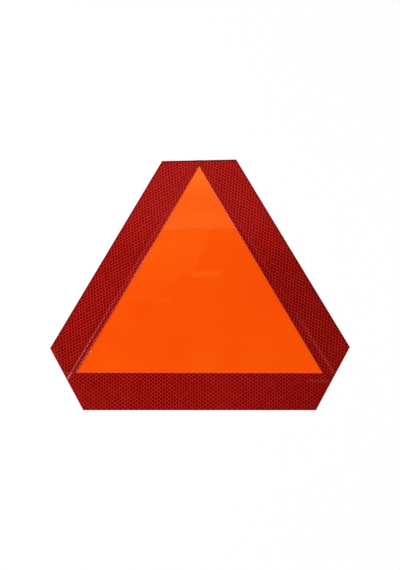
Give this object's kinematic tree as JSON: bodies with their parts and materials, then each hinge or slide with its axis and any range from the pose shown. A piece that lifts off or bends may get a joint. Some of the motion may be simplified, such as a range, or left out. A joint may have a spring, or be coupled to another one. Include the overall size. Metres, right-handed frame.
{
  "type": "reflective triangle plate",
  "caption": "Rear marking plate for slow vehicles: a flat triangle with cut corners, fluorescent orange film in the middle and a red reflective tape border.",
  "frame": {"origin": "the middle of the plate's outline, on its back face", "axes": "+Z out of the reflective face, +Y towards the narrow end, which points up on a vehicle, and +X across the plate, to the right as one looks at the face"},
  "size_m": [0.4234, 0.37, 0.0025],
  "materials": {
    "sheet_metal": "plain mill-finish sheet, bare on the back and at the cut edges",
    "fluorescent_film": "smooth glossy fluorescent orange film",
    "reflective_tape": "glossy red microprismatic reflective tape with small diamond cells"
  },
  "bodies": {
    "root": {"backing_plate": "sheet_metal", "orange_film": "fluorescent_film", "left_tape": "reflective_tape", "right_tape": "reflective_tape", "bottom_tape": "reflective_tape"}
  },
  "joints": []
}
